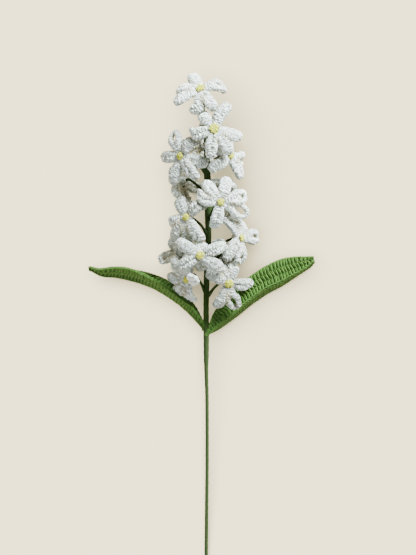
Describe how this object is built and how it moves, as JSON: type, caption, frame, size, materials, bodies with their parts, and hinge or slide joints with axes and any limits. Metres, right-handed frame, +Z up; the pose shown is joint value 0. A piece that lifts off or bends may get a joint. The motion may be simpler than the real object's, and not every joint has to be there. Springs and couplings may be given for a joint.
{
  "type": "crocheted hyacinth flower",
  "caption": "Crocheted hyacinth flower lying on its back: white looped florets with yellow centres on a taped wire stem, with folded green leaves.",
  "frame": {"origin": "on the surface that the flower lies on, under the middle of its bounding box", "axes": "+Y along the stem from the cut end to the flower's tip, +Z up from the surface to the side that the picture shows"},
  "size_m": [0.1837, 0.3974, 0.0565],
  "materials": {
    "white_cotton": "matte",
    "yellow_cotton": "matte",
    "green_cotton": "matte",
    "floral_tape": "matte",
    "wire_steel": "satin"
  },
  "bodies": {
    "root": {"floret_01": "white_cotton", "floret_02": "white_cotton", "floret_03": "white_cotton", "floret_04": "white_cotton", "floret_05": "white_cotton", "floret_06": "white_cotton", "floret_07": "white_cotton", "floret_08": "white_cotton", "floret_09": "white_cotton", "floret_10": "white_cotton", "floret_11": "white_cotton", "floret_12": "white_cotton", "floret_13": "white_cotton", "floret_14": "white_cotton", "floret_15": "white_cotton", "centre_01": "yellow_cotton", "centre_02": "yellow_cotton", "centre_03": "yellow_cotton", "centre_04": "yellow_cotton", "centre_05": "yellow_cotton", "centre_06": "yellow_cotton", "centre_07": "yellow_cotton", "centre_08": "yellow_cotton", "centre_09": "yellow_cotton", "centre_10": "yellow_cotton", "centre_11": "yellow_cotton", "centre_12": "yellow_cotton", "centre_13": "yellow_cotton", "centre_14": "yellow_cotton", "centre_15": "yellow_cotton", "leaf_left": "green_cotton", "leaf_right": "green_cotton", "stem_tape": "floral_tape", "stem_wire": "wire_steel"}
  },
  "joints": []
}
